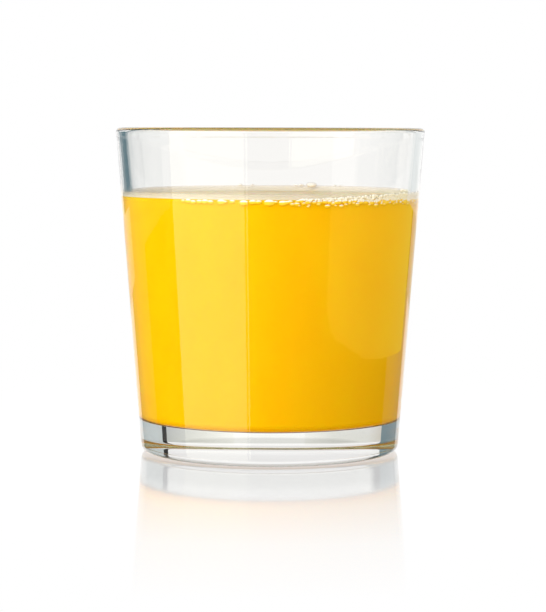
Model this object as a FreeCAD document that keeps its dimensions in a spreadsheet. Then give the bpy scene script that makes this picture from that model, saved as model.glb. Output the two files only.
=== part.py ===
import FreeCAD, Part
import math
import os

import Sketcher

# A glass of orange juice: a clear tumbler with a straight taper and a thick base, filled with
# juice to about four fifths of its height. Millimetres, +Z up. The origin is the middle of the
# glass's base, on the surface that it stands on. Both pieces are turned about the Z axis.

SIZES = {
    # tumbler, outside: the wall is one straight taper from the table to the rim
    "glass_height": 88.0,     # table to the top of the rim
    "foot_radius": 35.0,      # outer wall carried down to the table
    "rim_radius": 41.88,      # outer wall carried up to the height of the rim
    "heel_radius": 2.2,       # round between the outer wall and the base
    # tumbler, inside
    "floor_height": 9.0,      # thickness of the base, from the table to the inside floor
    "floor_wall": 3.2,        # thickness of the wall at the floor, measured level
    "rim_wall": 2.38,         # thickness of the wall carried up to the height of the rim
    "corner_radius": 2.2,     # round between the inner wall and the floor
    # fire-polished rim: a bead slightly thicker than the wall
    "bead_radius": 1.3,
    # hollow under the base, inside the ring that the glass stands on
    "hollow_inset": 4.6,      # from the foot radius in to the inner edge of the standing ring
    "hollow_slope": 1.6,      # width of the sloping edge of the hollow
    "hollow_step": 0.7,       # height of that sloping edge
    "hollow_rise": 1.3,       # table to the crown of the hollow
    # orange juice
    "juice_level": 69.5,      # table to the flat of the surface
    "meniscus_rise": 1.6,     # how far the juice climbs the wall
    "meniscus_reach": 2.4,    # how far from the wall the surface starts to climb
}

# Heights and radii that follow from the sizes, as expressions over the sheet.
OUTER_WALL = (
    "(sizes.foot_radius + (sizes.rim_radius - sizes.foot_radius) * %s / sizes.glass_height)"
)
FLOOR_RADIUS = "(%s - sizes.floor_wall)" % (OUTER_WALL % "sizes.floor_height")
MOUTH_RADIUS = "(sizes.rim_radius - sizes.rim_wall)"
INNER_WALL = (
    "(" + FLOOR_RADIUS + " + (" + MOUTH_RADIUS + " - " + FLOOR_RADIUS + ")"
    " * (%s - sizes.floor_height) / (sizes.glass_height - sizes.floor_height))"
)
WALL_TOP = "(sizes.glass_height - sizes.bead_radius)"
BEAD_CENTRE = "((%s + %s) / 2)" % (OUTER_WALL % WALL_TOP, INNER_WALL % WALL_TOP)
CONTACT_HEIGHT = "(sizes.juice_level + sizes.meniscus_rise)"
CONTACT_RADIUS = INNER_WALL % CONTACT_HEIGHT
FLAT_RADIUS = "(%s - sizes.meniscus_reach)" % CONTACT_RADIUS
HOLLOW_RADIUS = "(sizes.foot_radius - sizes.hollow_inset)"
DOME_RADIUS = "(%s - sizes.hollow_slope)" % HOLLOW_RADIUS

doc = FreeCAD.newDocument("glass_of_orange_juice")


def size_sheet():
    """The driving dimensions as a spreadsheet, one aliased cell each."""
    cells = doc.addObject("Spreadsheet::Sheet", "sizes")
    for row, (name, value) in enumerate(SIZES.items(), start=1):
        cells.set("A%d" % row, name)
        cells.set("B%d" % row, str(value))
        cells.setAlias("B%d" % row, name)
    doc.recompute()
    return cells


def value_of(expression):
    """The number that an expression over the sheet comes to."""
    probe = doc.addObject("App::FeaturePython", "probe")
    probe.addProperty("App::PropertyFloat", "Answer")
    probe.setExpression("Answer", expression)
    probe.recompute()
    answer = probe.Answer
    doc.removeObject(probe.Name)
    return answer


def section_sketch(body, name):
    """An empty sketch on the body's own XZ plane, for a section turned about Z."""
    plane = next(f for f in body.Origin.OriginFeatures if f.Role == "XZ_Plane")
    sketch = body.newObject("Sketcher::SketchObject", name)
    sketch.AttachmentSupport = [(plane, "")]
    sketch.MapMode = "FlatFace"
    return sketch


def bind(sketch, name, constraint, expression):
    """Adds a named constraint whose value follows an expression."""
    number = sketch.addConstraint(constraint)
    sketch.renameConstraint(number, name)
    sketch.setExpression("Constraints." + name, expression)


def outline(sketch, corners, arcs=None):
    """Draws a closed run of edges from corner to corner and fixes every corner.

    A corner is a name, a radius and a height; None stands for zero. arcs gives, for the number
    of the corner that it starts at, a point that the edge bends through, anticlockwise.
    Returns the numbers of the edges.
    """
    arcs = arcs or {}
    points = [
        FreeCAD.Vector(value_of(radius) if radius else 0, value_of(height) if height else 0, 0)
        for _, radius, height in corners
    ]
    edges = []
    for i, start in enumerate(points):
        end = points[(i + 1) % len(points)]
        edge = Part.Arc(start, arcs[i], end) if i in arcs else Part.LineSegment(start, end)
        edges.append(sketch.addGeometry(edge))
    for i, (name, radius, height) in enumerate(corners):
        if radius:
            across = Sketcher.Constraint("DistanceX", -1, 1, edges[i], 1, points[i].x)
            bind(sketch, name + "_radius", across, radius)
        else:
            sketch.addConstraint(Sketcher.Constraint("PointOnObject", edges[i], 1, -2))
        if height:
            up = Sketcher.Constraint("DistanceY", -1, 1, edges[i], 1, points[i].y)
            bind(sketch, name + "_height", up, height)
        else:
            sketch.addConstraint(Sketcher.Constraint("PointOnObject", edges[i], 1, -1))
    for i, edge in enumerate(edges):
        follower = edges[(i + 1) % len(edges)]
        sketch.addConstraint(Sketcher.Constraint("Coincident", edge, 2, follower, 1))
    return edges


def turned(body, kind, name, sketch):
    """Revolves a section through a full turn about the body's Z axis."""
    feature = body.newObject("PartDesign::" + kind, name)
    feature.Profile = (sketch, [""])
    feature.ReferenceAxis = (sketch, ["V_Axis"])
    feature.Angle = 360.0
    doc.recompute()
    return feature


def ring_edges(shape, radius, height, reach=0.05):
    """Names of the circles about Z with about this radius and height."""
    return [
        "Edge%d" % number
        for number, edge in enumerate(shape.Edges, start=1)
        if isinstance(edge.Curve, Part.Circle)
        and abs(edge.Curve.Radius - radius) < reach
        and abs(edge.Curve.Center.z - height) < reach
    ]


def rounded(body, name, base, ring, rounding):
    """Rounds the edge of a feature that runs round at a radius and height."""
    edges = ring_edges(base.Shape, *ring)
    if not edges:
        raise RuntimeError("nothing to round for " + name)
    feature = body.newObject("PartDesign::Fillet", name)
    feature.Base = (base, edges)
    feature.setExpression("Radius", rounding)
    doc.recompute()
    return feature


def bend_point(start, end):
    """A point on the arc that leaves start level and reaches end."""
    across = end[0] - start[0]
    up = end[1] - start[1]
    bend = (across ** 2 + up ** 2) / (2 * up)
    angle = math.atan2(up, across)
    return FreeCAD.Vector(
        start[0] + bend * math.sin(angle), start[1] + bend * (1 - math.cos(angle)), 0
    )


def wall_and_base(body):
    """The tapered wall and the thick base, with a square rim, heel and floor corner."""
    section = section_sketch(body, "wall_and_base_section")
    outline(section, [
        ("centre", None, None),
        ("foot", "sizes.foot_radius", None),
        ("outer_top", OUTER_WALL % WALL_TOP, WALL_TOP),
        ("inner_top", INNER_WALL % WALL_TOP, WALL_TOP),
        ("floor_edge", FLOOR_RADIUS, "sizes.floor_height"),
        ("floor_centre", None, "sizes.floor_height"),
    ])
    return turned(body, "Revolution", "wall_and_base", section)


def rim_bead(body, sheet):
    """The round bead of the rim, centred on the wall's top."""
    section = section_sketch(body, "bead_section")
    middle = value_of(BEAD_CENTRE)
    top = value_of(WALL_TOP)
    centre = FreeCAD.Vector(middle, top, 0)
    circle = section.addGeometry(Part.Circle(centre, FreeCAD.Vector(0, 0, 1), sheet.bead_radius))
    bind(section, "across", Sketcher.Constraint("DistanceX", -1, 1, circle, 3, middle), BEAD_CENTRE)
    bind(section, "up", Sketcher.Constraint("DistanceY", -1, 1, circle, 3, top), WALL_TOP)
    bind(section, "size", Sketcher.Constraint("Radius", circle, sheet.bead_radius),
         "sizes.bead_radius")
    return turned(body, "Revolution", "bead", section)


def hollow(body, sheet, above):
    """Cuts the shallow hollow under the base: a sloping edge, then a gentle dome."""
    section = section_sketch(body, "hollow_section")
    crown = (0.0, sheet.hollow_rise)
    edge = (value_of(DOME_RADIUS), sheet.hollow_step)
    dome = outline(section, [
        ("middle", None, None),
        ("ring", HOLLOW_RADIUS, None),
        ("dome_edge", DOME_RADIUS, "sizes.hollow_step"),
        ("crown", None, "sizes.hollow_rise"),
    ], arcs={2: bend_point(crown, edge)})[2]
    # the dome's centre lies on the axis, so its crown is level
    section.addConstraint(Sketcher.Constraint("PointOnObject", dome, 3, -2))
    groove = turned(body, "Groove", "hollow", section)
    if groove.Shape.Volume >= above.Shape.Volume:
        raise RuntimeError("the hollow under the base cut nothing")


def tumbler(sheet):
    """The glass: tapered wall, thick base, beaded rim, rounded heel and a hollow underneath."""
    body = doc.addObject("PartDesign::Body", "tumbler")
    body.Label = "tumbler"
    wall_and_base(body)
    bead = rim_bead(body, sheet)
    heel = rounded(body, "heel", bead, (sheet.foot_radius, 0.0), "sizes.heel_radius")
    corner = rounded(body, "floor_corner", heel, (value_of(FLOOR_RADIUS), sheet.floor_height),
                     "sizes.corner_radius")
    hollow(body, sheet, corner)
    return body


def orange_juice(sheet):
    """The drink: it fills the glass from the floor to its level and climbs the wall a little."""
    body = doc.addObject("PartDesign::Body", "orange_juice")
    body.Label = "orange_juice"
    section = section_sketch(body, "juice_section")
    flat = (value_of(FLAT_RADIUS), sheet.juice_level)
    contact = (value_of(CONTACT_RADIUS), value_of(CONTACT_HEIGHT))
    edges = outline(section, [
        ("floor_centre", None, "sizes.floor_height"),
        ("level_centre", None, "sizes.juice_level"),
        ("flat_edge", FLAT_RADIUS, "sizes.juice_level"),
        ("contact", CONTACT_RADIUS, CONTACT_HEIGHT),
        ("floor_edge", FLOOR_RADIUS, "sizes.floor_height"),
    ], arcs={2: bend_point(flat, contact)})
    # the arc's centre is straight above the edge of the flat, so the climb starts level
    section.addConstraint(Sketcher.Constraint("Vertical", edges[2], 3, edges[2], 1))
    drink = turned(body, "Revolution", "drink", section)
    rounded(body, "corner_of_juice", drink, (value_of(FLOOR_RADIUS), sheet.floor_height),
            "sizes.corner_radius")
    return body


def check(bodies):
    """Stops if any object failed or any piece is not one valid solid."""
    doc.recompute()
    for item in doc.Objects:
        if "Invalid" in item.State or "Error" in item.State:
            raise RuntimeError("%s is %s" % (item.Name, item.State))
    for body in bodies:
        shape = body.Shape
        if shape.isNull() or not shape.isValid() or len(shape.Solids) != 1:
            raise RuntimeError(body.Label + " is not one valid solid")


sizes = size_sheet()
pieces = [tumbler(sizes), orange_juice(sizes)]
check(pieces)
os.makedirs("parts", exist_ok=True)
for piece in pieces:
    piece.Shape.exportStep("parts/%s.step" % piece.Label)
    print("%s: %.1f cm3" % (piece.Label, piece.Shape.Volume / 1000))
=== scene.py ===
import math

import bpy
import numpy as np
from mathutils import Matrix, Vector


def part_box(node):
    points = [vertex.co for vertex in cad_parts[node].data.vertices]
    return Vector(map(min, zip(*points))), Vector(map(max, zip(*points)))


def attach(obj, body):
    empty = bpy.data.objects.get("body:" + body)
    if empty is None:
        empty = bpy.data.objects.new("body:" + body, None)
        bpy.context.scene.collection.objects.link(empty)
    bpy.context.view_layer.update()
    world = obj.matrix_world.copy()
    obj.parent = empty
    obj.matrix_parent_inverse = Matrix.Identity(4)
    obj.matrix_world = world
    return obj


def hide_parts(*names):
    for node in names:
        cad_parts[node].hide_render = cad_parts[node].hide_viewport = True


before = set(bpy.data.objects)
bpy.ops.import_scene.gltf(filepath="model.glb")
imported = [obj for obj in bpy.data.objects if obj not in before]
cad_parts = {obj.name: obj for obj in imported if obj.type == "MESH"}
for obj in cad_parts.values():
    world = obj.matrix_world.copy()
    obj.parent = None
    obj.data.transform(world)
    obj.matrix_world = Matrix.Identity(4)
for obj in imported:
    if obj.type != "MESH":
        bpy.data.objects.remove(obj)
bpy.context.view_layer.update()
MM = 0.001

# ---------------------------------------------------------------------------------------------
# Tumbler
# The glass itself: one piece of clear soda-lime glass, blown and pressed into a straight taper
# with a thick base, its rim melted round by a flame. It stands on a ring round a shallow hollow.
# ---------------------------------------------------------------------------------------------
glass_low, glass_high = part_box("tumbler")
juice_low, juice_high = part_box("orange_juice")

GLASS_HEIGHT = glass_high.z
RIM_RADIUS = 41.88 * MM          # outer wall carried up to the height of the rim
FOOT_RADIUS = 35.0 * MM          # outer wall carried down to the table
HEEL_RADIUS = 2.2 * MM           # round between the wall and the base
FLOOR_HEIGHT = juice_low.z       # top of the thick base
FLOOR_WALL = 3.2 * MM            # wall thickness at the inside floor
RIM_WALL = 2.38 * MM             # wall thickness carried up to the rim
CORNER_RADIUS = 2.2 * MM         # round between the inside wall and the floor
BEAD_RADIUS = 1.3 * MM           # the melted rim, a little thicker than the wall
BEAD_SWELL = 1.5 * MM            # height over which the wall eases out to the rim
RING_INSET = 4.6 * MM            # from the foot radius in to the inner edge of the standing ring
HOLLOW_SLOPE = 1.6 * MM
HOLLOW_STEP = 0.7 * MM
HOLLOW_RISE = 1.3 * MM
TURNS = 320                      # steps round the axis
GLASS_INDEX = 1.5                # refractive index of soda-lime glass
GLASS_BODY = (0.999, 0.993, 0.98, 1)
# painted shade: the olive of the lip stands in for the darker juice seen through the bead
GLASS_LIP_PAINTED_SHADE = (0.36, 0.31, 0.08, 1)
SKIN = 0.02 * MM                 # how far the looks stay inside the solid's own facets


def outer_wall(height):
    """Outer radius at a height: a straight line from the foot to the rim."""
    return FOOT_RADIUS + (RIM_RADIUS - FOOT_RADIUS) * height / GLASS_HEIGHT


def inner_wall(height):
    """Inner radius at a height: a straight line from the floor's edge to the mouth."""
    floor_radius = outer_wall(FLOOR_HEIGHT) - FLOOR_WALL
    mouth_radius = RIM_RADIUS - RIM_WALL
    share = (height - FLOOR_HEIGHT) / (GLASS_HEIGHT - FLOOR_HEIGHT)
    return floor_radius + (mouth_radius - floor_radius) * share


def arc(radius, height, size, start, end, steps):
    """Points on a circle about (radius, height), from one angle to another in degrees."""
    angle = np.radians(np.linspace(start, end, steps))
    return np.column_stack((radius + size * np.cos(angle), height + size * np.sin(angle)))


def swollen(line, height, gap, low, high):
    """A wall line that leaves its straight taper by gap, easing in from low to high."""
    ease = np.clip((height - low) / (high - low), 0, 1)
    return line(height) + gap * ease * ease * (3 - 2 * ease)


def tumbler_profile():
    """Radius and height round the glass's section, from the hollow's crown to the inside floor.

    The dome is a shallow parabola and the ring's edge a straight slope. The heel, the bead and
    the floor's corner are arcs, whose angles are those of the walls that they join.
    """
    lean_out = math.degrees(math.atan((RIM_RADIUS - FOOT_RADIUS) / GLASS_HEIGHT))
    slope_in = (inner_wall(GLASS_HEIGHT) - inner_wall(FLOOR_HEIGHT)) / (GLASS_HEIGHT - FLOOR_HEIGHT)
    lean_in = math.degrees(math.atan(slope_in))

    ring = FOOT_RADIUS - RING_INSET
    dome_edge = ring - HOLLOW_SLOPE
    dome_radius = np.linspace(0, dome_edge, 24)
    dome_height = HOLLOW_RISE - (HOLLOW_RISE - HOLLOW_STEP) * (dome_radius / dome_edge) ** 2
    dome = np.column_stack((dome_radius, dome_height))
    slope = np.array([
        [dome_edge + 0.3 * HOLLOW_SLOPE, 0.62 * HOLLOW_STEP],
        [dome_edge + 0.7 * HOLLOW_SLOPE, 0.2 * HOLLOW_STEP],
        [ring, 0.02 * HOLLOW_STEP],
    ])

    heel_centre = outer_wall(HEEL_RADIUS) - HEEL_RADIUS / math.cos(math.radians(lean_out))
    heel = arc(heel_centre, HEEL_RADIUS, HEEL_RADIUS, -90, -lean_out, 20)

    bead_height = GLASS_HEIGHT - BEAD_RADIUS
    bead_centre = (outer_wall(bead_height) + inner_wall(bead_height)) / 2
    bead = arc(bead_centre, bead_height, BEAD_RADIUS - SKIN, -lean_out, 180 - lean_in, 36)

    low = GLASS_HEIGHT - BEAD_RADIUS - BEAD_SWELL
    up = np.linspace(heel[-1, 1], bead[0, 1], 64)[1:-1]
    outside = swollen(outer_wall, up, bead[0, 0] - outer_wall(bead[0, 1]), low, bead[0, 1])

    corner_height = FLOOR_HEIGHT + CORNER_RADIUS
    corner_centre = inner_wall(corner_height) - CORNER_RADIUS / math.cos(math.radians(lean_in))
    corner = arc(corner_centre, corner_height, CORNER_RADIUS, -lean_in, -90, 14)
    down = np.linspace(bead[-1, 1], corner[0, 1], 64)[1:-1]
    inside = swollen(inner_wall, down, bead[-1, 0] - inner_wall(bead[-1, 1]), low, bead[-1, 1])

    floor = np.column_stack((np.linspace(corner_centre, 0, 16)[1:], np.full(15, FLOOR_HEIGHT)))
    return np.vstack((
        dome, slope, heel, np.column_stack((outside, up)), bead,
        np.column_stack((inside, down)), corner, floor,
    ))


def turned_piece(name, profile, turns):
    """Carries a profile of radius and height round the Z axis.

    A point of the surface is (r cos a, r sin a, z), for each profile point (r, z) and each of the
    evenly spaced angles a. The profile starts and ends on the axis, where one vertex closes it.
    """
    angle = np.linspace(0, 2 * np.pi, turns, endpoint=False)
    radius, height = profile[1:-1, 0], profile[1:-1, 1]
    grid = np.stack((
        np.outer(radius, np.cos(angle)),
        np.outer(radius, np.sin(angle)),
        np.outer(height, np.ones(turns)),
    ), axis=-1).reshape(-1, 3)
    points = np.vstack((grid, [[0, 0, profile[0, 1]], [0, 0, profile[-1, 1]]]))

    rows, around = len(radius), np.arange(turns)
    following = (around + 1) % turns
    lower = (np.arange(rows - 1)[:, None] * turns + around).ravel()
    lower_next = (np.arange(rows - 1)[:, None] * turns + following).ravel()
    quads = np.column_stack((lower, lower_next, lower_next + turns, lower + turns))
    start, end, last = rows * turns, rows * turns + 1, (rows - 1) * turns
    caps = np.vstack((
        np.column_stack((np.full(turns, start), following, around)),
        np.column_stack((np.full(turns, end), last + around, last + following)),
    ))
    mesh = bpy.data.meshes.new(name)
    mesh.from_pydata(points.tolist(), [], quads.tolist() + caps.tolist())
    mesh.shade_smooth()
    piece = bpy.data.objects.new(name, mesh)
    bpy.context.scene.collection.objects.link(piece)
    return piece


def new_material(name):
    """A material with an empty node tree, and the tree's nodes and links."""
    material = bpy.data.materials.new(name)
    material.use_nodes = True
    nodes = material.node_tree.nodes
    nodes.clear()
    return material, nodes, material.node_tree.links


def surface_relief():
    """Node group: the slight waviness of a drawn or poured surface, as a normal.

    Two noises of different size on the object's own coordinates are added as height.
    """
    group = bpy.data.node_groups.new("surface_relief", "ShaderNodeTree")
    face = group.interface
    face.new_socket("Wide Scale", in_out="INPUT", socket_type="NodeSocketFloat")
    face.new_socket("Fine Scale", in_out="INPUT", socket_type="NodeSocketFloat")
    face.new_socket("Fine Share", in_out="INPUT", socket_type="NodeSocketFloat")
    face.new_socket("Height", in_out="OUTPUT", socket_type="NodeSocketFloat")
    nodes, links = group.nodes, group.links
    given = nodes.new("NodeGroupInput")
    place = nodes.new("ShaderNodeTexCoord")
    wide = nodes.new("ShaderNodeTexNoise")
    wide.inputs["Detail"].default_value = 1.0
    fine = nodes.new("ShaderNodeTexNoise")
    fine.inputs["Detail"].default_value = 2.0
    links.new(place.outputs["Object"], wide.inputs["Vector"])
    links.new(place.outputs["Object"], fine.inputs["Vector"])
    links.new(given.outputs["Wide Scale"], wide.inputs["Scale"])
    links.new(given.outputs["Fine Scale"], fine.inputs["Scale"])
    blend = nodes.new("ShaderNodeMix")
    links.new(given.outputs["Fine Share"], blend.inputs["Factor"])
    links.new(wide.outputs["Fac"], blend.inputs[2])
    links.new(fine.outputs["Fac"], blend.inputs[3])
    result = nodes.new("NodeGroupOutput")
    links.new(blend.outputs[0], result.inputs["Height"])
    return group


RELIEF = surface_relief()


def add_relief(nodes, links, shader, scales, fine_share, strength, distance):
    """Bumps a shader by the relief. scales are those of its wide and its fine noise."""
    relief = nodes.new("ShaderNodeGroup")
    relief.node_tree = RELIEF
    relief.inputs["Wide Scale"].default_value = scales[0]
    relief.inputs["Fine Scale"].default_value = scales[1]
    relief.inputs["Fine Share"].default_value = fine_share
    bump = nodes.new("ShaderNodeBump")
    bump.inputs["Strength"].default_value = strength
    bump.inputs["Distance"].default_value = distance
    links.new(relief.outputs["Height"], bump.inputs["Height"])
    links.new(bump.outputs["Normal"], shader.inputs["Normal"])


def share_of_height(nodes, links, low, high):
    """How far up between two heights a point lies, as a share from 0 to 1."""
    place = nodes.new("ShaderNodeTexCoord")
    axes = nodes.new("ShaderNodeSeparateXYZ")
    links.new(place.outputs["Object"], axes.inputs[0])
    height = nodes.new("ShaderNodeMapRange")
    height.inputs["From Min"].default_value = low
    height.inputs["From Max"].default_value = high
    links.new(axes.outputs["Z"], height.inputs["Value"])
    return height


def clear_glass():
    """Clear glass with the slight waviness of drawn glass, with painted olive shade at the lip.

    The olive is painted shade for the darker juice seen through the bead, given by height, on
    the top of the bead alone. Lamps shine through the glass unbent, so that what is in it is lit.
    """
    material, nodes, links = new_material("clear_glass")
    glass = nodes.new("ShaderNodeBsdfPrincipled")
    lip_foot = GLASS_HEIGHT - 0.7 * BEAD_RADIUS
    lip_head = GLASS_HEIGHT - 0.3 * BEAD_RADIUS
    lip = share_of_height(nodes, links, lip_foot, lip_head)
    # painted shade: the olive is mixed into the glass's colour by height, on the top of the bead
    body = nodes.new("ShaderNodeMix")
    body.data_type = "RGBA"
    body.inputs[6].default_value = GLASS_BODY
    body.inputs[7].default_value = GLASS_LIP_PAINTED_SHADE
    links.new(lip.outputs["Result"], body.inputs["Factor"])
    links.new(body.outputs[2], glass.inputs["Base Color"])
    glass.inputs["Roughness"].default_value = 0.0
    glass.inputs["IOR"].default_value = GLASS_INDEX
    glass.inputs["Transmission Weight"].default_value = 1.0
    add_relief(nodes, links, glass, (45.0, 160.0), 0.2, 0.5, 0.06 * MM)
    through = nodes.new("ShaderNodeBsdfTransparent")
    through.inputs["Color"].default_value = (0.97, 0.98, 0.975, 1)
    path = nodes.new("ShaderNodeLightPath")
    seen = glass
    for ray in ("Is Shadow Ray", "Is Diffuse Ray"):
        choice = nodes.new("ShaderNodeMixShader")
        links.new(path.outputs[ray], choice.inputs[0])
        links.new(seen.outputs[0], choice.inputs[1])
        links.new(through.outputs[0], choice.inputs[2])
        seen = choice
    output = nodes.new("ShaderNodeOutputMaterial")
    links.new(seen.outputs[0], output.inputs["Surface"])
    return material


tumbler = turned_piece("tumbler_glass", tumbler_profile(), TURNS)
tumbler.data.materials.append(clear_glass())
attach(tumbler, "root")
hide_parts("tumbler")

# ---------------------------------------------------------------------------------------------
# Orange juice
# Cloudy juice, poured to about four fifths of the glass's height, which reaches just into the
# glass so that no air shows. It wets the wall, and a thin pale film of it climbs there all round.
# ---------------------------------------------------------------------------------------------
CONTACT_HEIGHT = juice_high.z
MENISCUS_RISE = 1.6 * MM
MENISCUS_REACH = 2.4 * MM
JUICE_LEVEL = CONTACT_HEIGHT - MENISCUS_RISE
WETTING = 0.08 * MM              # how far the juice's skin lies inside the glass
JUICE_INDEX = 1.35               # refractive index of juice
AGAINST_GLASS = 0.9              # that of juice over that of glass
AGAINST_AIR = 1.01               # far below the real 1.35, for a dull, cloudy surface
JUICE_SIDE = (0.97, 0.52, 0.001, 1)
JUICE_SIDE_DEEP = (0.96, 0.48, 0.0, 1)
# painted shade: the lowest part of the juice is darkened by height, so that the base keeps from
# turning yellow
JUICE_UNDERSIDE_PAINTED_SHADE = (0.5, 0.45, 0.6, 1)
JUICE_ABOVE_FLOOR_PAINTED_SHADE = (0.95, 0.8, 0.6, 1)
# partly pale froth and partly painted reflection: the top is paler than the side, for the white
# surroundings mirrored at a grazing angle
JUICE_TOP_FROTH_AND_PAINTED_REFLECTION = (0.98, 0.77, 0.46, 1)
JUICE_TOP_DEEP_FROTH_AND_PAINTED_REFLECTION = (0.97, 0.72, 0.36, 1)


def climb(contact, rise, reach, steps):
    """The arc from the wall down to the flat level, which it meets smoothly, reach further in."""
    bend = (reach ** 2 + rise ** 2) / (2 * rise)
    turn = 2 * math.degrees(math.atan(rise / reach))
    return arc(contact - reach, JUICE_LEVEL + bend, bend, turn - 90, -90, steps)


def juice_profile():
    """Radius and height round the juice's section, from the floor to the middle of its surface.

    It is the inside of the glass, then the level, which turns up by a hair where it meets it.
    """
    slope = (inner_wall(GLASS_HEIGHT) - inner_wall(FLOOR_HEIGHT)) / (GLASS_HEIGHT - FLOOR_HEIGHT)
    lean = math.degrees(math.atan(slope))
    corner_height = FLOOR_HEIGHT + CORNER_RADIUS
    corner_centre = inner_wall(corner_height) - CORNER_RADIUS / math.cos(math.radians(lean))
    floor = np.column_stack((
        np.linspace(0, corner_centre, 16)[:-1], np.full(15, FLOOR_HEIGHT - WETTING),
    ))
    corner = arc(corner_centre, corner_height, CORNER_RADIUS + WETTING, -90, -lean, 14)
    lip = 0.2 * MM
    up = np.linspace(corner[-1, 1], JUICE_LEVEL + lip, 60)[1:]
    side = np.column_stack((inner_wall(up) + WETTING, up))
    turn_up = climb(inner_wall(JUICE_LEVEL + lip), lip, 0.4 * MM, 8)
    level = np.column_stack((np.linspace(turn_up[-1, 0], 0, 40)[1:], np.full(39, JUICE_LEVEL)))
    return np.vstack((floor, corner, side, turn_up, level))


def film_profile():
    """Radius and height round the section of the climbing film, a wedge against the glass."""
    under = 0.15 * MM
    wall = np.linspace(JUICE_LEVEL - under, CONTACT_HEIGHT, 12)
    outside = np.column_stack((inner_wall(wall) + 0.5 * WETTING, wall))
    inside = climb(inner_wall(CONTACT_HEIGHT) - 0.02 * MM, MENISCUS_RISE, MENISCUS_REACH, 14)
    tail = np.array([[inner_wall(JUICE_LEVEL) - MENISCUS_REACH, JUICE_LEVEL - under]])
    return np.vstack((outside, inside, tail))


def ring_piece(name, profile, turns):
    """Carries a closed profile of radius and height round the Z axis, as for turned_piece."""
    angle = np.linspace(0, 2 * np.pi, turns, endpoint=False)
    radius, height = profile[:, 0], profile[:, 1]
    points = np.stack((
        np.outer(radius, np.cos(angle)),
        np.outer(radius, np.sin(angle)),
        np.outer(height, np.ones(turns)),
    ), axis=-1).reshape(-1, 3)
    rows, around = np.arange(len(radius))[:, None], np.arange(turns)
    above, following = (rows + 1) % len(radius), (around + 1) % turns
    faces = np.stack((
        rows * turns + around,
        rows * turns + following,
        above * turns + following,
        above * turns + around,
    ), axis=-1).reshape(-1, 4)
    mesh = bpy.data.meshes.new(name)
    mesh.from_pydata(points.tolist(), [], faces.tolist())
    mesh.shade_smooth()
    piece = bpy.data.objects.new(name, mesh)
    bpy.context.scene.collection.objects.link(piece)
    return piece


def pulp():
    """Node group: the cloudiness of juice, as a share from 0 to 1.

    A wide noise, drawn out upwards like slow swirls, with a finer one of pulp over it.
    """
    group = bpy.data.node_groups.new("pulp", "ShaderNodeTree")
    group.interface.new_socket("Scale", in_out="INPUT", socket_type="NodeSocketFloat")
    group.interface.new_socket("Cloud", in_out="OUTPUT", socket_type="NodeSocketFloat")
    nodes, links = group.nodes, group.links
    given = nodes.new("NodeGroupInput")
    place = nodes.new("ShaderNodeTexCoord")
    drawn = nodes.new("ShaderNodeMapping")
    drawn.inputs["Scale"].default_value = (1.0, 1.0, 0.35)
    noise = nodes.new("ShaderNodeTexNoise")
    noise.inputs["Detail"].default_value = 5.0
    noise.inputs["Roughness"].default_value = 0.55
    links.new(place.outputs["Object"], drawn.inputs["Vector"])
    links.new(drawn.outputs["Vector"], noise.inputs["Vector"])
    links.new(given.outputs["Scale"], noise.inputs["Scale"])
    spread = nodes.new("ShaderNodeMapRange")
    spread.inputs["From Min"].default_value = 0.35
    spread.inputs["From Max"].default_value = 0.65
    links.new(noise.outputs["Fac"], spread.inputs["Value"])
    result = nodes.new("NodeGroupOutput")
    links.new(spread.outputs["Result"], result.inputs["Cloud"])
    return group


PULP = pulp()


def colour_ramp(nodes, stops):
    """A colour ramp through the given stops, lowest first: each a position and a colour."""
    ramp = nodes.new("ShaderNodeValToRGB")
    elements = ramp.color_ramp.elements
    for end, (position, colour) in ((0, stops[0]), (1, stops[-1])):
        elements[end].position = position
        elements[end].color = colour
    for position, colour in stops[1:-1]:
        stop = elements.new(position)
        stop.color = colour
    return ramp


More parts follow.
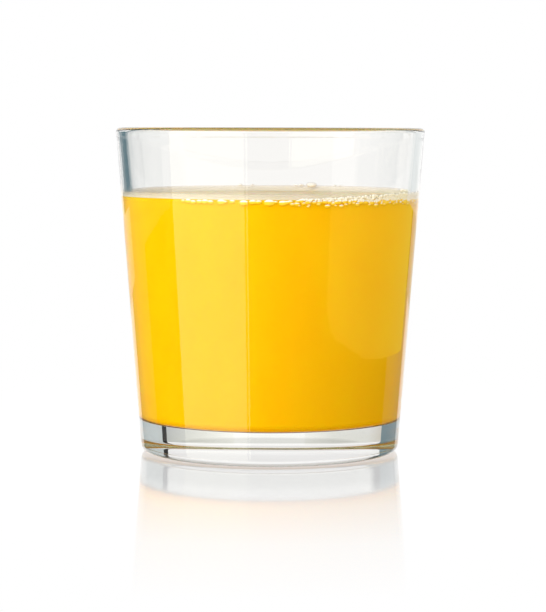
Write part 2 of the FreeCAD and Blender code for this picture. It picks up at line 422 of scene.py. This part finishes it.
def juice(name, light, deep, roughness, against):
    """Cloudy juice: light enters it a few millimetres, red furthest and blue hardly at all.

    against is the refractive index of juice over that of what it meets. Against glass it is
    below 1, so light that comes at a shallow angle is wholly mirrored, as under the base. The
    lowest part is darkened by height with painted shade, which keeps the base from turning yellow.
    """
    material, nodes, links = new_material(name)
    body = nodes.new("ShaderNodeBsdfPrincipled")
    body.inputs["Roughness"].default_value = roughness
    body.inputs["IOR"].default_value = JUICE_INDEX
    body.inputs["Specular IOR Level"].default_value = 0.0
    body.inputs["Subsurface Weight"].default_value = 0.5
    body.inputs["Subsurface Radius"].default_value = (1.0, 0.5, 0.1)
    body.inputs["Subsurface Scale"].default_value = 5.0 * MM
    cloud = nodes.new("ShaderNodeGroup")
    cloud.node_tree = PULP
    cloud.inputs["Scale"].default_value = 70.0
    tone = nodes.new("ShaderNodeMix")
    tone.data_type = "RGBA"
    tone.inputs[6].default_value = light
    tone.inputs[7].default_value = deep
    links.new(cloud.outputs["Cloud"], tone.inputs["Factor"])
    # painted shade: the juice's colour is multiplied by a ramp that darkens it over its lowest part
    underside = FLOOR_HEIGHT - WETTING
    height = share_of_height(nodes, links, underside, FLOOR_HEIGHT + 0.7 * CORNER_RADIUS)
    depth = colour_ramp(nodes, (
        (0.03, JUICE_UNDERSIDE_PAINTED_SHADE), (0.3, JUICE_ABOVE_FLOOR_PAINTED_SHADE), (1.0, (1, 1, 1, 1)),
    ))
    links.new(height.outputs["Result"], depth.inputs["Fac"])
    shaded = nodes.new("ShaderNodeMix")
    shaded.data_type = "RGBA"
    shaded.blend_type = "MULTIPLY"
    shaded.inputs["Factor"].default_value = 1.0
    links.new(tone.outputs[2], shaded.inputs[6])
    links.new(depth.outputs["Color"], shaded.inputs[7])
    links.new(shaded.outputs[2], body.inputs["Base Color"])
    add_relief(nodes, links, body, (90.0, 900.0), 0.3, 0.4, 0.1 * MM)
    mirror = nodes.new("ShaderNodeBsdfGlossy")
    mirror.inputs["Roughness"].default_value = roughness
    share = nodes.new("ShaderNodeFresnel")
    share.inputs["IOR"].default_value = against
    mixed = nodes.new("ShaderNodeMixShader")
    links.new(share.outputs[0], mixed.inputs[0])
    links.new(body.outputs[0], mixed.inputs[1])
    links.new(mirror.outputs[0], mixed.inputs[2])
    output = nodes.new("ShaderNodeOutputMaterial")
    links.new(mixed.outputs[0], output.inputs["Surface"])
    return material


drink = turned_piece("orange_juice_drink", juice_profile(), TURNS)
drink.data.materials.append(
    juice("juice_at_wall", JUICE_SIDE, JUICE_SIDE_DEEP, 0.02, AGAINST_GLASS)
)
# the open top takes the paler colours: partly froth, partly painted reflection of the white
# surroundings
drink.data.materials.append(
    juice("juice_surface", JUICE_TOP_FROTH_AND_PAINTED_REFLECTION, JUICE_TOP_DEEP_FROTH_AND_PAINTED_REFLECTION, 0.1, AGAINST_AIR)
)
centres = np.empty(len(drink.data.polygons) * 3)
drink.data.polygons.foreach_get("center", centres)
normals = np.empty(len(drink.data.polygons) * 3)
drink.data.polygons.foreach_get("normal", normals)
open_top = (centres[2::3] > JUICE_LEVEL - 0.01 * MM) & (normals[2::3] > 0.2)
drink.data.polygons.foreach_set("material_index", open_top.astype(np.int32))
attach(drink, "root")
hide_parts("orange_juice")


def juice_film():
    """Juice so thin that light comes through it: it clears towards its upper edge."""
    material, nodes, links = new_material("juice_film")
    body = nodes.new("ShaderNodeBsdfPrincipled")
    body.inputs["Roughness"].default_value = 0.2
    body.inputs["IOR"].default_value = JUICE_INDEX
    body.inputs["Specular IOR Level"].default_value = 0.3
    height = share_of_height(nodes, links, JUICE_LEVEL, CONTACT_HEIGHT)
    cloud = nodes.new("ShaderNodeGroup")
    cloud.node_tree = PULP
    cloud.inputs["Scale"].default_value = 140.0
    tone = nodes.new("ShaderNodeMix")
    tone.data_type = "RGBA"
    tone.inputs[6].default_value = (0.82, 0.73, 0.57, 1)
    tone.inputs[7].default_value = (0.81, 0.67, 0.44, 1)
    links.new(cloud.outputs["Cloud"], tone.inputs["Factor"])
    # painted light: the film's flatter foot is made paler, against the shade that falls on it
    foot_painted_light = nodes.new("ShaderNodeMix")
    foot_painted_light.data_type = "RGBA"
    foot_painted_light.inputs[6].default_value = (0.88, 0.8, 0.62, 1)
    links.new(height.outputs["Result"], foot_painted_light.inputs["Factor"])
    links.new(tone.outputs[2], foot_painted_light.inputs[7])
    links.new(foot_painted_light.outputs[2], body.inputs["Base Color"])
    cover = nodes.new("ShaderNodeMapRange")
    cover.inputs["To Min"].default_value = 0.75
    cover.inputs["To Max"].default_value = 0.2
    links.new(height.outputs["Result"], cover.inputs["Value"])
    links.new(cover.outputs["Result"], body.inputs["Alpha"])
    output = nodes.new("ShaderNodeOutputMaterial")
    links.new(body.outputs[0], output.inputs["Surface"])
    return material


film = ring_piece("orange_juice_film", film_profile(), TURNS)
film.data.materials.append(juice_film())
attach(film, "root")

# ---------------------------------------------------------------------------------------------
# Bubbles and froth
# Air bubbles left by pouring: a string of them pressed against the glass at the surface, with a
# second row of smaller ones, fine froth heaped on the right, and a few on the far wall.
# ---------------------------------------------------------------------------------------------
RANDOM = np.random.default_rng(24)


def bubble_piece(name, bearing, inset, height, half_width, half_height, half_depth, detail):
    """Many ellipsoids as one mesh, each set against the inner wall.

    For a bubble at a bearing (radians from straight towards the camera, to the right), a point
    of the unit sphere at latitude v and longitude u is stretched by the half depth along the
    radius, the half width round the wall and the half height along Z. Its attribute cap runs
    from 0 at the bubble's foot to 1 at its top.
    """
    rows, around = detail
    latitude = np.linspace(-np.pi / 2, np.pi / 2, rows + 1)[1:-1]
    longitude = np.linspace(0, 2 * np.pi, around, endpoint=False)
    ball = np.stack((
        np.outer(np.cos(latitude), np.cos(longitude)),
        np.outer(np.cos(latitude), np.sin(longitude)),
        np.outer(np.sin(latitude), np.ones(around)),
    ), axis=-1).reshape(-1, 3)
    ball = np.vstack((ball, [[0, 0, -1], [0, 0, 1]]))
    outward = np.stack((np.sin(bearing), -np.cos(bearing), np.zeros_like(bearing)), axis=-1)
    along = np.stack((np.cos(bearing), np.sin(bearing), np.zeros_like(bearing)), axis=-1)
    centre = outward * (inner_wall(height) - inset)[:, None]
    centre[:, 2] = height
    points = (
        centre[:, None, :]
        + ball[None, :, 0:1] * half_depth[:, None, None] * outward[:, None, :]
        + ball[None, :, 1:2] * half_width[:, None, None] * along[:, None, :]
        + ball[None, :, 2:3] * half_height[:, None, None] * np.array([0, 0, 1.0])
    ).reshape(-1, 3)
    step, band = np.arange(around), np.arange(len(latitude) - 1)[:, None] * around
    following = (step + 1) % around
    quads = np.stack((
        band + step, band + following, band + around + following, band + around + step,
    ), axis=-1).reshape(-1, 4)
    last, low, high = (len(latitude) - 1) * around, len(ball) - 2, len(ball) - 1
    caps = np.vstack((
        np.column_stack((np.full(around, low), following, step)),
        np.column_stack((np.full(around, high), last + step, last + following)),
    ))
    first = (np.arange(len(bearing)) * len(ball))[:, None, None]
    faces = (quads[None] + first).reshape(-1, 4).tolist()
    faces += (caps[None] + first).reshape(-1, 3).tolist()
    mesh = bpy.data.meshes.new(name)
    mesh.from_pydata(points.tolist(), [], faces)
    mesh.shade_smooth()
    cap = mesh.attributes.new("cap", "FLOAT", "POINT")
    cap.data.foreach_set("value", np.tile(ball[:, 2] / 2 + 0.5, len(bearing)))
    piece = bpy.data.objects.new(name, mesh)
    bpy.context.scene.collection.objects.link(piece)
    return piece


def bubble_film(name, foot, body_tone, top, outline, clear):
    """A wet bubble: painted yellow for the juice behind its foot, and a painted white highlight
    where light comes over its top.

    Its outline is painted shade, darker because there the eye looks along the film and into the
    juice.
    """
    material, nodes, links = new_material(name)
    body = nodes.new("ShaderNodeBsdfPrincipled")
    body.inputs["Roughness"].default_value = 0.08
    body.inputs["IOR"].default_value = 1.33
    body.inputs["Coat Weight"].default_value = 0.6
    body.inputs["Coat Roughness"].default_value = 0.03
    body.inputs["Alpha"].default_value = clear
    shade = nodes.new("ShaderNodeAttribute")
    shade.attribute_name = "cap"
    # painted light: the foot and body take the colour of the juice behind, the top a painted white
    # highlight
    ramp = colour_ramp(nodes, ((0.12, foot), (0.3, body_tone), (0.62, body_tone), (0.74, top)))
    links.new(shade.outputs["Fac"], ramp.inputs["Fac"])
    # painted shade: the outline is darkened where the surface turns away
    rim = nodes.new("ShaderNodeLayerWeight")
    rim.inputs["Blend"].default_value = 0.35
    edge = nodes.new("ShaderNodeMix")
    edge.data_type = "RGBA"
    edge.blend_type = "MULTIPLY"
    links.new(rim.outputs["Facing"], edge.inputs["Factor"])
    links.new(ramp.outputs["Color"], edge.inputs[6])
    edge.inputs[7].default_value = outline
    links.new(edge.outputs[2], body.inputs["Base Color"])
    add_relief(nodes, links, body, (400.0, 1500.0), 0.4, 0.3, 0.05 * MM)
    output = nodes.new("ShaderNodeOutputMaterial")
    links.new(body.outputs[0], output.inputs["Surface"])
    return material


# painted light: white for the bubbles' painted highlights, and for the clinging bubbles' bodies,
# where the white behind shows through
PAINTED_LIGHT_WHITE = (1.0, 0.98, 0.94, 1)
wall_bubble = bubble_film(
    "wall_bubble", (0.95, 0.46, 0.0, 1), (0.99, 0.62, 0.02, 1), PAINTED_LIGHT_WHITE, (0.97, 0.8, 0.5, 1), 1.0
)
froth_bubble = bubble_film(
    "froth_bubble", (1.0, 0.8, 0.42, 1), (1.0, 0.93, 0.76, 1), PAINTED_LIGHT_WHITE, (1.0, 0.92, 0.78, 1), 1.0
)

# a string of bubbles round the wall, thinner on the hidden side
count = 170
half = RANDOM.choice([0.6, 0.85, 1.1], count, p=[0.35, 0.4, 0.25])
half = half * RANDOM.uniform(0.85, 1.15, count) * MM
reach = 1.75 * half + RANDOM.uniform(0.0, 1.0, count) ** 3 * 1.3 * MM
bearing = np.radians(-37) + np.cumsum(reach) / inner_wall(JUICE_LEVEL)
keep = bearing < np.radians(255)
bearing, half = bearing[keep], half[keep]
hidden = (bearing > np.radians(90)) & (RANDOM.uniform(size=len(bearing)) < 0.5)
bearing, half = bearing[~hidden], half[~hidden]
string = bubble_piece(
    "bubbles_at_wall", bearing, RANDOM.uniform(-0.08, 0.05, len(half)) * MM,
    JUICE_LEVEL - (0.5 * half + RANDOM.uniform(-0.1, 0.2, len(half)) * MM),
    1.12 * half, 0.72 * half, np.full_like(half, 0.45 * MM), (12, 20),
)
string.data.materials.append(wall_bubble)
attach(string, "root")

# a second row of smaller ones above and below the string, from the middle to the right
count = 70
bearing = np.radians(6 + 75 * RANDOM.uniform(size=count))
half = RANDOM.uniform(0.3, 0.75, count) * MM
second = bubble_piece(
    "bubbles_between", bearing, RANDOM.uniform(-0.12, 0.0, count) * MM,
    JUICE_LEVEL + RANDOM.uniform(-1.7, -0.1, count) * MM,
    1.15 * half, 0.7 * half, np.full_like(half, 0.4 * MM), (8, 12),
)
second.data.materials.append(wall_bubble)
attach(second, "root")

# fine froth, heaped against the wall on the right
count = 1300
bearing = np.radians(10 + 92 * RANDOM.beta(1.9, 1.1, count))
heap = np.clip((np.degrees(bearing) - 8) / 45, 0.15, 1)
half = RANDOM.uniform(0.16, 0.45, count) * MM
froth = bubble_piece(
    "fine_froth", bearing, RANDOM.uniform(-0.2, 0.1, count) * MM,
    JUICE_LEVEL + (RANDOM.uniform(-0.9, 1.25, count) * heap + 0.15) * MM,
    half, 0.85 * half, 0.9 * half, (6, 8),
)
froth.data.materials.append(froth_bubble)
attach(froth, "root")

# a few that cling to the far wall where the film ends
bearing = np.radians(np.array([161.0, 166.0, 168.6, 188.0, 193.5, 150.0, 147.5]))
half = np.array([1.6, 0.75, 0.6, 0.5, 0.6, 0.45, 0.4]) * MM
clinging = bubble_piece(
    "clinging_bubbles", bearing, 0.75 * half, CONTACT_HEIGHT + 0.12 * half,
    half, 0.5 * half, 0.8 * half, (12, 20),
)
clinging.data.materials.append(
    bubble_film(
        "clinging_bubble", (0.98, 0.93, 0.84, 1), PAINTED_LIGHT_WHITE, PAINTED_LIGHT_WHITE, (0.92, 0.9, 0.85, 1), 0.95
    )
)
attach(clinging, "root")

# ---------------------------------------------------------------------------------------------
# Studio
# A white table that gives off light and mirrors the glass softly, large soft lights at the front
# left and on the right, and dark and pale cards at the sides that draw the edges of the glass.
# ---------------------------------------------------------------------------------------------
AMBIENT = 0.42                   # brightness of the surroundings for diffuse light
TABLE_HALF = 3.0
GLOSS_REACH = 0.2                # how far from the glass the table is glossy
MIRROR_REACH = 1.5               # how far out it is a mirror for what is seen through the glass
CARD_POINTS = 25                 # points along a curved card's edge
FIRST_BOUNCE = 1.5               # ray depth that parts the first bounce from later ones


def glowing(name, colour, strength):
    """A plain emission material."""
    material, nodes, links = new_material(name)
    glow = nodes.new("ShaderNodeEmission")
    glow.inputs["Color"].default_value = (*colour, 1)
    glow.inputs["Strength"].default_value = strength
    output = nodes.new("ShaderNodeOutputMaterial")
    links.new(glow.outputs[0], output.inputs["Surface"])
    return material


def curved_card(name, reach, bearings, heights, material, rays):
    """A card bent round the glass: a piece of a cylinder about the Z axis.

    reach is its distance, bearings its two ends in degrees from straight ahead of the camera to
    the right, and heights its lower and upper edge. rays says which kinds of ray meet it.
    """
    turn = np.linspace(bearings[0], bearings[1], CARD_POINTS)
    angle = np.radians(turn)
    across = np.stack((reach * np.sin(angle), reach * np.cos(angle)), axis=-1)
    foot = heights[0](turn) if callable(heights[0]) else np.full(CARD_POINTS, heights[0])
    low = np.column_stack((across, foot))
    head = heights[1](turn) if callable(heights[1]) else np.full(CARD_POINTS, heights[1])
    high = np.column_stack((across, head))
    step = np.arange(CARD_POINTS - 1)
    faces = np.column_stack((step, step + 1, step + CARD_POINTS + 1, step + CARD_POINTS))
    mesh = bpy.data.meshes.new(name)
    mesh.from_pydata(np.vstack((low, high)).tolist(), [], faces.tolist())
    mesh.materials.append(material)
    card = bpy.data.objects.new(name, mesh)
    bpy.context.scene.collection.objects.link(card)
    card.visible_camera = False
    card.visible_shadow = False
    card.visible_diffuse = "diffuse" in rays
    card.visible_glossy = "glossy" in rays
    card.visible_transmission = "transmission" in rays
    return card


def table():
    """A wide white table that gives off light, with a soft gloss close about the glass.

    For what is seen through the glass, the part behind it is a mirror instead, tinted by
    distance with a painted shadow of the glass.
    """
    size = TABLE_HALF
    mesh = bpy.data.meshes.new("table")
    corners = [(-size, -size, 0), (size, -size, 0), (size, size, 0), (-size, size, 0)]
    mesh.from_pydata(corners, [], [(0, 1, 2, 3)])
    material, nodes, links = new_material("white_table")
    place = nodes.new("ShaderNodeTexCoord")
    reach = nodes.new("ShaderNodeVectorMath")
    reach.operation = "LENGTH"
    links.new(place.outputs["Object"], reach.inputs[0])
    shares = ((0.0, 0.5), (0.3, 0.46), (0.48, 0.22), (0.72, 0.06), (1.0, 0.0))
    fade = colour_ramp(nodes, [(at, (share, share, share, 1)) for at, share in shares])
    spread = nodes.new("ShaderNodeMapRange")
    spread.inputs["From Max"].default_value = GLOSS_REACH
    links.new(reach.outputs["Value"], spread.inputs["Value"])
    links.new(spread.outputs["Result"], fade.inputs["Fac"])
    glow = nodes.new("ShaderNodeEmission")
    glow.inputs["Color"].default_value = (1, 1, 1, 1)
    glow.inputs["Strength"].default_value = 1.0
    gloss = nodes.new("ShaderNodeBsdfGlossy")
    gloss.inputs["Color"].default_value = (1, 1, 1, 1)
    gloss.inputs["Roughness"].default_value = 0.05
    both = nodes.new("ShaderNodeMixShader")
    links.new(fade.outputs["Color"], both.inputs[0])
    links.new(glow.outputs[0], both.inputs[1])
    links.new(gloss.outputs[0], both.inputs[2])
    mirror = nodes.new("ShaderNodeBsdfGlossy")
    mirror.inputs["Roughness"].default_value = 0.05
    # painted shadow of the glass: the mirror's tint, by distance from the glass
    shares = ((0.29, 0.72), (0.46, 0.74), (0.51, 0.96))
    tinted = [(at, (share, share * 1.01, share * 0.97, 1)) for at, share in shares]
    shadow = colour_ramp(nodes, [(0.25, (0.87, 0.87, 0.84, 1)), *tinted, (1.0, (1, 1, 1, 1))])
    links.new(spread.outputs["Result"], shadow.inputs["Fac"])
    links.new(shadow.outputs["Color"], mirror.inputs["Color"])
    path = nodes.new("ShaderNodeLightPath")
    close = nodes.new("ShaderNodeMath")
    close.operation = "LESS_THAN"
    close.inputs[1].default_value = MIRROR_REACH
    links.new(reach.outputs["Value"], close.inputs[0])
    axes = nodes.new("ShaderNodeSeparateXYZ")
    links.new(place.outputs["Object"], axes.inputs[0])
    beyond = nodes.new("ShaderNodeMath")
    beyond.operation = "GREATER_THAN"
    beyond.inputs[1].default_value = 0.0
    links.new(axes.outputs["Y"], beyond.inputs[0])
    there = nodes.new("ShaderNodeMath")
    there.operation = "MULTIPLY"
    links.new(beyond.outputs[0], there.inputs[0])
    links.new(close.outputs[0], there.inputs[1])
    through = nodes.new("ShaderNodeMath")
    through.operation = "MULTIPLY"
    links.new(path.outputs["Is Transmission Ray"], through.inputs[0])
    links.new(there.outputs[0], through.inputs[1])
    choice = nodes.new("ShaderNodeMixShader")
    links.new(through.outputs[0], choice.inputs[0])
    links.new(both.outputs[0], choice.inputs[1])
    links.new(mirror.outputs[0], choice.inputs[2])
    output = nodes.new("ShaderNodeOutputMaterial")
    links.new(choice.outputs[0], output.inputs["Surface"])
    mesh.materials.append(material)
    top = bpy.data.objects.new("table", mesh)
    bpy.context.scene.collection.objects.link(top)
    top.location.z = -0.02 * MM
    top.visible_glossy = False


def surroundings():
    """White to the camera; in reflections white behind and dark in front.

    Through the glass it is white low down and a little darker higher up, and diffuse light
    meets only the ambient share.
    """
    world = bpy.data.worlds.new("studio")
    bpy.context.scene.world = world
    world.use_nodes = True
    world.cycles.sampling_method = "NONE"
    nodes, links = world.node_tree.nodes, world.node_tree.links
    nodes.clear()
    path = nodes.new("ShaderNodeLightPath")
    place = nodes.new("ShaderNodeTexCoord")
    axes = nodes.new("ShaderNodeSeparateXYZ")
    links.new(place.outputs["Generated"], axes.inputs[0])
    behind = nodes.new("ShaderNodeMapRange")
    behind.inputs["From Min"].default_value = 0.74
    behind.inputs["From Max"].default_value = 0.79
    behind.inputs["To Min"].default_value = 0.02
    behind.inputs["To Max"].default_value = 1.05
    links.new(axes.outputs["Y"], behind.inputs["Value"])
    above = nodes.new("ShaderNodeMapRange")
    above.inputs["From Min"].default_value = 0.09
    above.inputs["From Max"].default_value = 0.17
    above.inputs["To Min"].default_value = 1.03
    above.inputs["To Max"].default_value = 0.86
    links.new(axes.outputs["Z"], above.inputs["Value"])
    previous = behind
    for ray, strength in (
        ("Is Diffuse Ray", AMBIENT),
        ("Is Shadow Ray", AMBIENT),
        ("Is Transmission Ray", 1.0),
        ("Is Camera Ray", 1.0),
    ):
        choose = nodes.new("ShaderNodeMix")
        links.new(path.outputs[ray], choose.inputs["Factor"])
        links.new(previous.outputs[0], choose.inputs[2])
        choose.inputs[3].default_value = strength
        if ray == "Is Transmission Ray":
            links.new(above.outputs["Result"], choose.inputs[3])
        previous = choose
    back = nodes.new("ShaderNodeBackground")
    back.inputs["Color"].default_value = (1, 1, 1, 1)
    links.new(previous.outputs[0], back.inputs["Strength"])
    output = nodes.new("ShaderNodeOutputWorld")
    links.new(back.outputs[0], output.inputs["Surface"])


def shaded_sides():
    """The foot of the backdrop: white behind the glass, greyer towards its two sides."""
    material = glowing("shaded_sides", (1, 1, 1), 1.0)
    nodes, links = material.node_tree.nodes, material.node_tree.links
    place = nodes.new("ShaderNodeTexCoord")
    axes = nodes.new("ShaderNodeSeparateXYZ")
    links.new(place.outputs["Object"], axes.inputs[0])
    across = nodes.new("ShaderNodeMapRange")
    across.inputs["From Min"].default_value = -0.42
    across.inputs["From Max"].default_value = 0.36
    links.new(axes.outputs["X"], across.inputs["Value"])
    shares = ((0.12, 0.76), (0.31, 0.78), (0.43, 0.97), (0.66, 0.97), (0.8, 0.75))
    warm = [(at, (share, share, share * 0.97, 1)) for at, share in shares]
    left_end, right_end = (0.66, 0.62, 0.54, 1), (0.5, 0.52, 0.51, 1)
    tone = colour_ramp(nodes, [(0.0, left_end), *warm, (1.0, right_end)])
    links.new(across.outputs["Result"], tone.inputs["Fac"])
    glow = next(n for n in nodes if n.type == "EMISSION")
    links.new(tone.outputs["Color"], glow.inputs["Color"])
    return material


def tilted_foot(bearing):
    """Height of the right softbox's lower edge: level, then rising as it goes round behind."""
    round_side = np.clip(100 - bearing, 0, 90) / 61
    return -0.064 + 0.031 * round_side ** 1.3 + 0.012 * np.clip((bearing - 128) / 7, 0, 1) ** 2


def warm_head(bearing):
    """Height on the right softbox that the edge of the juice mirrors: its light is warmer below."""
    return -0.002 + 0.053 * (np.clip(140 - bearing, 0, 120) / 119) ** 1.25


def first_bounce_only(material):
    """Lets the card be seen in what the camera sees straight, and not in the table's mirroring."""
    nodes, links = material.node_tree.nodes, material.node_tree.links
    path = nodes.new("ShaderNodeLightPath")
    near = nodes.new("ShaderNodeMath")
    near.operation = "LESS_THAN"
    near.inputs[1].default_value = FIRST_BOUNCE
    links.new(path.outputs["Ray Depth"], near.inputs[0])
    clear = nodes.new("ShaderNodeBsdfTransparent")
    choice = nodes.new("ShaderNodeMixShader")
    output = next(n for n in nodes if n.type == "OUTPUT_MATERIAL")
    glow = next(n for n in nodes if n.type == "EMISSION")
    links.new(near.outputs[0], choice.inputs[0])
    links.new(clear.outputs[0], choice.inputs[1])
    links.new(glow.outputs[0], choice.inputs[2])
    links.new(choice.outputs[0], output.inputs["Surface"])
    return material


table()
surroundings()
seen = ("glossy", "transmission")
softbox = glowing("softbox_left", (1, 1, 0.8), 1.8)
curved_card("softbox_left", 0.45, (198.6, 257), (-0.3, 0.5), softbox, ("glossy",))
curved_card("softbox_rim", 0.45, (196.2, 197.3), (-0.3, 0.5), softbox, ("glossy",))
right_softbox = first_bounce_only(glowing("softbox_right", (1, 1, 0.2), 0.8))
curved_card("softbox_right", 0.45, (39.3, 135), (tilted_foot, warm_head), right_softbox, ("glossy",))
right_above = first_bounce_only(glowing("softbox_right_above", (1, 1, 1), 0.8))
curved_card("softbox_right_above", 0.45, (39.3, 135), (warm_head, 0.5), right_above, ("glossy",))
lamp_left = glowing("lamp_left", (1, 1, 1), 3.2)
curved_card("lamp_left", 0.5, (185, 255), (-0.1, 0.7), lamp_left, ("diffuse",))
lamp_right = glowing("lamp_right", (1, 0.9, 0.8), 1.12)
curved_card("lamp_right", 0.5, (75, 140), (-0.1, 0.7), lamp_right, ("diffuse",))
dark = glowing("dark_card", (0.62, 1.0, 1.15), 0.2)
curved_card("dark_card_left", 0.61, (-100, -43), (-0.02, 0.8), dark, seen)
curved_card("dark_card_left_low", 0.61, (-66, -31), (-0.4, -0.02), dark, ("glossy",))
curved_card("dark_card_edge", 0.2, (-60, -33), (0.052, 0.11), dark, seen)
gap = glowing("gap", (1, 1, 1), 0.01)
curved_card("gap_right", 0.6, (36, 39.3), (-0.02, 0.8), gap, seen)
pale = glowing("pale_card", (0.92, 1.0, 1.0), 0.62)
curved_card("pale_card_right", 0.6, (39.3, 100), (-0.02, 0.8), pale, seen)
dim = glowing("dim_card", (0.9, 1.0, 1.0), 0.25)
curved_card("dim_card_right_low", 0.6, (32, 66), (-0.4, -0.02), dim, ("glossy",))
edge_pale = glowing("pale_card_edge", (0.96, 1.0, 1.0), 0.82)
curved_card("pale_card_edge", 0.2, (33, 60), (0.052, 0.11), edge_pale, seen)
sides = shaded_sides()
curved_card("side_card_right", 0.6, (9, 36), (-0.02, 0.028), sides, seen)
curved_card("side_card_left", 0.6, (-43, -9), (-0.02, 0.028), sides, seen)

# ---------------------------------------------------------------------------------------------
# Camera
# A long lens a little above the rim, looking slightly down at the glass.
# ---------------------------------------------------------------------------------------------
CAMERA_DISTANCE = 0.625
CAMERA_HEIGHT = 0.0888
CAMERA_RIGHT = 0.7 * MM
LOOKING_DOWN = 4.515             # degrees
CAMERA_ROLL = -0.15
FOCAL_LENGTH = 135.1             # millimetres
lens = bpy.data.cameras.new("camera")
lens.lens = FOCAL_LENGTH
lens.sensor_width = 36.0
camera = bpy.data.objects.new("camera", lens)
camera.location = (CAMERA_RIGHT, -CAMERA_DISTANCE, CAMERA_HEIGHT)
camera.rotation_euler = (math.radians(90 - LOOKING_DOWN), math.radians(CAMERA_ROLL), 0)
bpy.context.scene.collection.objects.link(camera)
bpy.context.scene.camera = camera
bpy.context.scene.view_settings.view_transform = "Standard"
bpy.context.scene.cycles.max_bounces = 24
bpy.context.scene.cycles.transmission_bounces = 20
bpy.context.scene.cycles.glossy_bounces = 12
bpy.context.scene.cycles.transparent_max_bounces = 16
